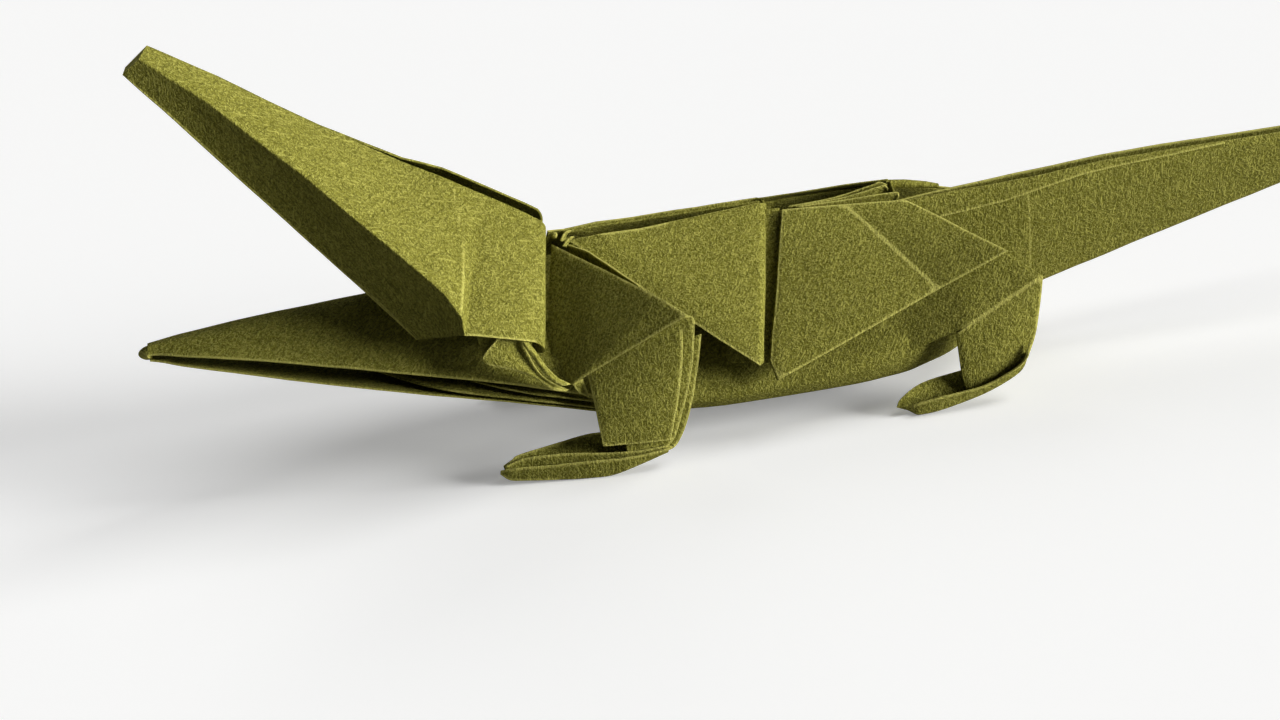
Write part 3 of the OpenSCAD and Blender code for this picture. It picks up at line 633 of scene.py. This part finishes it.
# %% Bands and thighs
hip, groin = left(61.1, 14.3, 16.05), left(48.8, 14.9, 10.3)
band_end = skirt + Vector((0.5, 1, -0.9))
band_rows = [
    [left(33, 8.7, 16), left(33, 12.6, 7)],
    [left(42, 9.7, 17.5), left(42, 13.3, 7.9)],
    [left(51, 11.2, 18.8), groin.lerp(hip, 0.12)],
    [band_end, hip],
]
lay_pair(band_rows, cells=(8, 10), worn=[[groin, hip]])
thigh_rows = [
    [groin, hip],
    [left(49, 15.4, 6.55), left(60.3, 14.8, 12.2)],
    [left(49.2, 15.6, 3.9), left(59.4, 15.2, 8.2)],
    [left(49.6, 15.7, 1.85), left(58, 15.5, 5.05)],
]
lay_pair(thigh_rows, cells=(6, 12), bows=((0, -0.4, 0),), soft=(True, False),
         worn=[[groin, hip], column(thigh_rows, 1)])
turned_in = [[p, p + Vector((0.3, 0.6, 0)), p + Vector((1.4, 1, 0))]
             for p in column(thigh_rows, 0)]
lay_pair(turned_in, cells=(6, 4), soft=(True, True), worn=[])
count("bands and thighs")

# %% Hind feet
canoe = [
    [left(41.2, 16.2, 1.5), left(41.9, 16.2, 0.3), left(41.2, 15, 0.5), left(39.7, 14.9, 1.2)],
    [left(42.2, 16.6, 1.9), left(42.6, 16.4, 0.15), left(42.2, 15, 0.3), left(40.6, 14.5, 2.2)],
    [left(45.8, 17, 2.5), left(45.8, 16.7, 0.5), left(45.4, 15, 0.4), left(43.8, 13.6, 3.4)],
    [left(51.5, 17.1, 3), left(51.5, 16.7, 1.7), left(51, 15, 1.6), left(49.4, 13.6, 4.2)],
    [left(56.8, 16.7, 5), left(56.4, 16.5, 3.7), left(56.1, 15.2, 3.5), left(55.4, 14.4, 5.4)],
    [left(58.4, 16, 7.5), left(58, 15.9, 5.8), left(57.9, 15.2, 5.8), left(57.8, 14.8, 7)],
]
lay_pair(canoe, cells=(5, 5), fold=0.3, soft=(True, False),
         worn=[column(canoe, 0), column(canoe, 3), canoe[0]])
count("hind feet")

# %% [markdown]
# ## Corner of the mouth and neck
# Where upper jaw, lower jaw and arm meet, a loose end of the sheet is rolled into a leaf-shaped
# curl with a narrow lit strip beside it. At the neck the rolled ends of the plies show as a small
# bead and two tabs between the head and the back. They are loose ends of one side only, so they
# aren't mirrored.

# %% Curl
leaf = [
    [left(-8.2, 12.9, 20.4), left(-10.7, 14.2, 21.6)],
    [left(-8, 13, 19.4), left(-13.3, 14.2, 19.15)],
    [left(-7.5, 13, 18.2), left(-12.7, 14.2, 17.85)],
    [left(-7, 13.1, 16.4), left(-9.7, 14.3, 16.55)],
    [left(-6.2, 13.2, 14.7), left(-7.2, 14.2, 14.85)],
    [left(-4.7, 13.4, 13.25), left(-5.3, 14, 12.8)],
    [left(-3.1, 13.6, 12.2), left(-3.5, 13.8, 12.1)],
]
lay_pair(leaf, cells=(5, 8), bows=((0, -0.6, 0.1),), thick=THIN, soft=(True, False))
leaf_back = [[left(-13.6, 13.2, 22.2), left(-13.3, 12.7, 18.4)],
             [left(-10.4, 12.6, 21.6), left(-12, 12.2, 17)]]
lay_pair(leaf_back, cells=(6, 6), thick=THIN, worn=[])
strip = [
    [left(-7.8, 13.1, 20.45), left(-8.2, 13.6, 20.45)],
    [left(-6.8, 13.5, 18.65), left(-7.4, 14, 18.9)],
    [left(-5.7, 13.8, 16.15), left(-6.6, 14.2, 17)],
    [left(-4.3, 14, 14.15), left(-5.6, 14.4, 15.1)],
    [left(-2.8, 14.1, 13.1), left(-3.9, 14.4, 13.3)],
]
lay_pair(strip, cells=(5, 5), bows=((0, -0.35, 0.1),), thick=THIN, soft=(True, False))
strip_end = [[left(-2.6, 14.1, 13.1), left(-1.1, 14, 13.6)],
             [left(-1.9, 14, 11.6), left(-0.6, 13.9, 10.5)]]
lay_pair(strip_end, cells=(5, 5), thick=THIN)
count("curl")

# %% Neck
BEAD, BEAD_X, BEAD_Z = 0.5, -1.1, 29.45
BEAD_SLOPE, BEAD_HALF = 0.466, 2.6
bead_spiral = list(zip(range(-180, 301, 60), (0.2, 0.5, 0.7, 0.85, 1, 1, 1, 1, 1)))
bead_rows = []
for half, end in ((1.4, 1), (2.1, 1), (2.6, 0.9), (2.85, 0.35)):
    middle = left(BEAD_X, half, BEAD_Z - BEAD_SLOPE * (BEAD_HALF - half))
    bead_rows.append([middle + Vector((math.cos(math.radians(turn)), 0,
                                       math.sin(math.radians(turn)))) * BEAD * shrink * end
                      for turn, shrink in bead_spiral])
lay_ply(bead_rows, cells=(4, 4), thick=THINNER, soft=(False, True))
tabs = [[left(-0.6, 3, 28.7), left(0, 2.6, 29.5), left(0.7, 2.2, 29.75)],
        [left(-0.4, 3.2, 28), left(0.3, 2.9, 28.65), left(0.9, 2.6, 28.95)]]
for tab in tabs:
    lay_ply([[p, p + Vector((0.5, 0.5, -0.3))] for p in tab], cells=(5, 3), thick=THINNER,
            soft=(True, False))
count("neck")

# %% [markdown]
# ## One sheet
# On the real model all plies are one sheet, so here they end as one mesh that stands for the CAD
# solid. Each ply could stay an object of its own, but then the export would split the sheet. The
# two distances go along as attributes of the points, and folds stay crisp by their angle.

# %% One sheet
MM = 0.001
CRISP_ANGLE = math.radians(38)
bmesh.ops.scale(paper, vec=(MM, MM, MM), verts=paper.verts)
sheet_mesh = bpy.data.meshes.new("folded_sheet")
paper.to_mesh(sheet_mesh)
paper.free()
for name, values in (("worn_mm", worn_mm), ("crease_mm", crease_mm)):
    distances = sheet_mesh.attributes.new(name, "FLOAT", "POINT")
    distances.data.foreach_set("value", np.array(values, dtype=np.float32))
for face in sheet_mesh.polygons:
    face.use_smooth = True
sheet_mesh.set_sharp_from_angle(angle=CRISP_ANGLE)
sheet = bpy.data.objects.new("folded_sheet", sheet_mesh)
bpy.context.collection.objects.link(sheet)
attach(sheet, "root")
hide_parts("crocodile")
print("folded sheet:", sum(len(p.vertices) - 2 for p in sheet_mesh.polygons), "triangles")

# %% [markdown]
# ## Paper
# The sheet is thick unbleached paper with long fibres, dyed olive and left matt. The fibres lie in
# it at random and show as short pale and dark strokes, the dye takes unevenly, and every fold and
# edge is rubbed until pale fibres stand out. A picture of real paper would give this too, but it
# would carry one lamp's shade with it, so each of these marks is drawn by a noise of its own size.

# %% Material helpers


def linear(hex_colour):
    channels = [int(hex_colour[i:i + 2], 16) / 255 for i in (1, 3, 5)]
    return tuple(c / 12.92 if c <= 0.04045 else ((c + 0.055) / 1.055) ** 2.4
                 for c in channels) + (1.0,)


def add_node(tree, kind, inputs=None, **settings):
    new = tree.nodes.new(kind)
    for key, value in settings.items():
        setattr(new, key, value)
    for key, value in (inputs or {}).items():
        if isinstance(value, bpy.types.NodeSocket):
            tree.links.new(value, new.inputs[key])
        else:
            new.inputs[key].default_value = value
    return new


def per_metre(size_mm):
    return 1 / (size_mm * MM)


# to the eye it is warm olive with pale and dark strokes, and it has almost no gloss
fibrous = bpy.data.materials.new("dyed_fibrous_paper")
fibrous.use_nodes = True
tree = fibrous.node_tree
tree.nodes.clear()
place = add_node(tree, "ShaderNodeTexCoord").outputs["Object"]
print("olive dye, linear:", [round(c, 3) for c in linear("#989543")])

# %% Fibres
# One fibre is about 0.05 mm wide, too fine to show, so bundles of fibres are drawn. Each lay of
# bundles has its own turn and its own shift.
FIBRE_LENGTH, FIBRE_WIDTH = 1.6, 0.22
FIBRE_WAVE = 0.6
FIBRE_FROM, FIBRE_TO = 0.58, 0.72
pale_lays = [((0.2, 0.4, 0.3), (0.01, 0.02, 0.03)), ((-0.3, -0.8, 0.5), (0.04, 0.01, 0.02)),
             ((0.5, 1.7, -0.4), (0.02, 0.05, 0.01))]
dark_lays = [((0.1, 1.1, -0.3), (0.05, 0.01, 0.07)), ((-0.2, -0.3, 0.6), (0.03, 0.06, 0.02))]


def fibre_strokes(lays):
    strokes = None
    for turn, shift in lays:
        laid = add_node(tree, "ShaderNodeMapping", {
            "Vector": place, "Location": shift, "Rotation": turn,
            "Scale": (FIBRE_LENGTH * MM, FIBRE_WIDTH * MM, FIBRE_WIDTH * MM)},
            vector_type="TEXTURE").outputs["Vector"]
        bundles = add_node(tree, "ShaderNodeTexNoise", {
            "Vector": laid, "Scale": 1.0, "Detail": 0.0, "Distortion": FIBRE_WAVE}).outputs["Fac"]
        lay = add_node(tree, "ShaderNodeMapRange", {
            "Value": bundles, "From Min": FIBRE_FROM, "From Max": FIBRE_TO}).outputs[0]
        strokes = lay if strokes is None else add_node(
            tree, "ShaderNodeMath", {0: strokes, 1: lay}, operation="MAXIMUM").outputs[0]
    return strokes


pale_fibres = fibre_strokes(pale_lays)
dark_fibres = fibre_strokes(dark_lays)
print("fibres:", len(pale_lays), "pale and", len(dark_lays), "dark lays")

# %% Dye
CLOUD, GRAIN = 6, 0.34
SPECK_FROM, SPECK_TO = 0.3, 0.7
PALE_SHARE, DARK_SHARE = 0.5, 0.55
cloud = add_node(tree, "ShaderNodeTexNoise", {
    "Vector": place, "Scale": per_metre(CLOUD), "Detail": 4.0}).outputs["Fac"]
grain = add_node(tree, "ShaderNodeTexNoise", {
    "Vector": place, "Scale": per_metre(GRAIN), "Detail": 2.0, "Roughness": 0.6}).outputs["Fac"]
specks = add_node(tree, "ShaderNodeMapRange", {
    "Value": grain, "From Min": SPECK_FROM, "From Max": SPECK_TO}).outputs[0]
dye = add_node(tree, "ShaderNodeMix", {
    0: cloud, 6: linear("#878434"), 7: linear("#989543")}, data_type="RGBA").outputs[2]
colour = add_node(tree, "ShaderNodeMix", {
    0: specks, 6: linear("#6a6724"), 7: dye}, data_type="RGBA").outputs[2]
for strokes, share, tint in ((pale_fibres, PALE_SHARE, "#b5b158"),
                             (dark_fibres, DARK_SHARE, "#4d4a10")):
    part = add_node(tree, "ShaderNodeMath", {0: strokes, 1: share}, operation="MULTIPLY").outputs[0]
    colour = add_node(tree, "ShaderNodeMix", {
        0: part, 6: colour, 7: linear(tint)}, data_type="RGBA").outputs[2]
print("dye:", len(tree.nodes), "nodes so far")

# %% Rubbed folds and pressed creases
RUB_FROM, RUB_TO = 0.1, 0.5
PRESS_TO, PRESS_PALE = 0.5, 0.95
FLECK = 0.4
RAGGED_FROM, RAGGED_TO, RUB_PALE = 0.85, 1.45, 0.8
rubbed = add_node(tree, "ShaderNodeAttribute", attribute_name="worn_mm").outputs["Fac"]
pressed = add_node(tree, "ShaderNodeAttribute", attribute_name="crease_mm").outputs["Fac"]
rub_line = add_node(tree, "ShaderNodeMapRange", {
    "Value": rubbed, "From Min": RUB_FROM, "From Max": RUB_TO,
    "To Min": 1.0, "To Max": 0.0}).outputs[0]
press_line = add_node(tree, "ShaderNodeMapRange", {
    "Value": pressed, "From Min": 0.0, "From Max": PRESS_TO,
    "To Min": PRESS_PALE, "To Max": 0.0}).outputs[0]
line = add_node(tree, "ShaderNodeMath", {
    0: rub_line, 1: press_line}, operation="MAXIMUM").outputs[0]
flecks = add_node(tree, "ShaderNodeTexNoise", {
    "Vector": place, "Scale": per_metre(FLECK), "Detail": 2.0}).outputs["Fac"]
ragged = add_node(tree, "ShaderNodeMath", {0: line, 1: flecks}, operation="ADD").outputs[0]
rub = add_node(tree, "ShaderNodeMapRange", {
    "Value": ragged, "From Min": RAGGED_FROM, "From Max": RAGGED_TO,
    "To Min": 0.0, "To Max": RUB_PALE}).outputs[0]
worn = add_node(tree, "ShaderNodeMix", {
    0: rub, 6: colour, 7: linear("#c6c065")}, data_type="RGBA").outputs[2]
print("folds and creases:", len(tree.nodes), "nodes so far")

# %% Matt surface
FIBRE_RELIEF, FIBRE_STEP = 0.17, 0.5
relief = add_node(tree, "ShaderNodeMath", {
    0: pale_fibres, 1: FIBRE_STEP, 2: grain}, operation="MULTIPLY_ADD").outputs[0]
bump = add_node(tree, "ShaderNodeBump", {
    "Strength": 1.0, "Distance": FIBRE_RELIEF * MM, "Height": relief}).outputs["Normal"]
shader = add_node(tree, "ShaderNodeBsdfPrincipled", {
    "Base Color": worn, "Roughness": 0.95, "Specular IOR Level": 0.12, "Normal": bump})
add_node(tree, "ShaderNodeOutputMaterial", {"Surface": shader.outputs["BSDF"]})
sheet_mesh.materials.append(fibrous)
print("paper material:", len(tree.nodes), "nodes")

# %% [markdown]
# ## Floor, light and camera
# A pale floor carries the shadow. Two soft windows light from the right, one high and one low, so
# walls that face left go dark while the cheek and the top of the head stay light, and a weak fill
# from the far side keeps that side readable. One lamp over the model would light it evenly, but
# then the folds would not show. Area lamps would leave bright patches on the floor, so each window
# is a sun lamp with a wide angle. The camera stands close, a little above and rolled.

# %% Floor
FLOOR_HALF = 3
FLOOR_LIFT = 0.23
floor_bm = bmesh.new()
bmesh.ops.create_grid(floor_bm, x_segments=1, y_segments=1, size=FLOOR_HALF)
floor_mesh = bpy.data.meshes.new("floor")
floor_bm.to_mesh(floor_mesh)
floor_bm.free()
floor = bpy.data.objects.new("floor", floor_mesh)
bpy.context.collection.objects.link(floor)
pale = bpy.data.materials.new("pale_floor")
pale.use_nodes = True
floor_tree = pale.node_tree
floor_tree.nodes.clear()
rays = add_node(floor_tree, "ShaderNodeLightPath").outputs
seen = rays["Is Camera Ray"]
for ray_kind in ("Is Glossy Ray", "Is Transmission Ray"):
    seen = add_node(floor_tree, "ShaderNodeMath", {
        0: seen, 1: rays[ray_kind]}, operation="MAXIMUM").outputs[0]
# the floor looks paler than the light that it sends back to the model
tone = add_node(floor_tree, "ShaderNodeMix", {
    0: seen, 6: linear("#a4a4a2"), 7: linear("#f4f4f3")}, data_type="RGBA").outputs[2]
pale_shader = add_node(floor_tree, "ShaderNodeBsdfPrincipled", {
    "Base Color": tone, "Roughness": 0.9, "Specular IOR Level": 0.0}).outputs["BSDF"]
lift = add_node(floor_tree, "ShaderNodeMath", {
    0: seen, 1: FLOOR_LIFT}, operation="MULTIPLY").outputs[0]
glow = add_node(floor_tree, "ShaderNodeEmission", {
    "Color": linear("#ffffff"), "Strength": lift}).outputs["Emission"]
both = add_node(floor_tree, "ShaderNodeAddShader", {0: pale_shader, 1: glow}).outputs["Shader"]
add_node(floor_tree, "ShaderNodeOutputMaterial", {"Surface": both})
floor_mesh.materials.append(pale)
print("floor:", 2 * FLOOR_HALF, "m wide")

# %% Light
SKY_STRENGTH = 0.02
world = bpy.data.worlds.new("even_light")
world.use_nodes = True
sky = world.node_tree.nodes["Background"]
sky.inputs["Color"].default_value = linear("#fbfbff")
sky.inputs["Strength"].default_value = SKY_STRENGTH
bpy.context.scene.world = world
# name, direction that the light comes from, angle that the window fills, strength
lamps = [
    ("high_window", (1.92, 0, 2.52), 31, 1.3),
    ("low_window", (1.5, -0.66, 0.33), 25, 5),
    ("far_fill", (-0.36, 1.71, 1.3), 37, 0.6),
]
for name, towards, angle, strength in lamps:
    lamp = bpy.data.lights.new(name, "SUN")
    lamp.angle = math.radians(angle)
    lamp.energy = strength
    lamp_object = bpy.data.objects.new(name, lamp)
    bpy.context.collection.objects.link(lamp_object)
    turn = Vector(towards).to_track_quat("Z", "Y").to_matrix().to_4x4()
    lamp_object.matrix_world = Matrix.Translation(towards) @ turn
bpy.context.scene.view_settings.view_transform = "Standard"
print("lamps:", ", ".join(lamp[0] for lamp in lamps))

# %% Camera
PICTURE_W, PICTURE_H = 1280, 720
FOCAL_PX, SENSOR_MM = 1900, 36
AZIMUTH, ELEVATION, ROLL = (math.radians(a) for a in (-5, 25, 8.5))
# the front foot fixes where the camera stands: its pixel, its depth and its place, in mm
ANCHOR_PX, ANCHOR_DEPTH = (600, 480), 250
anchor = Vector((-40.6, -17, 0))
back = Vector((math.sin(AZIMUTH) * math.cos(ELEVATION), -math.cos(AZIMUTH) * math.cos(ELEVATION),
               math.sin(ELEVATION)))
level_right = (-back).cross(Vector((0, 0, 1))).normalized()
level_up = level_right.cross(-back)
right = level_right * math.cos(ROLL) - level_up * math.sin(ROLL)
up = level_up * math.cos(ROLL) + level_right * math.sin(ROLL)
ray = (-back + right * ((ANCHOR_PX[0] - PICTURE_W / 2) / FOCAL_PX)
       - up * ((ANCHOR_PX[1] - PICTURE_H / 2) / FOCAL_PX))
eye = (anchor - ray * ANCHOR_DEPTH) * MM
view = bpy.data.cameras.new("view")
view.sensor_width = SENSOR_MM
view.lens = FOCAL_PX / PICTURE_W * SENSOR_MM
view.clip_start = 0.01
view_object = bpy.data.objects.new("view", view)
bpy.context.collection.objects.link(view_object)
view_object.matrix_world = Matrix((
    (right.x, up.x, back.x, eye.x),
    (right.y, up.y, back.y, eye.y),
    (right.z, up.z, back.z, eye.z),
    (0, 0, 0, 1)))
bpy.context.scene.camera = view_object
print("camera at, mm:", [round(v / MM, 1) for v in eye])
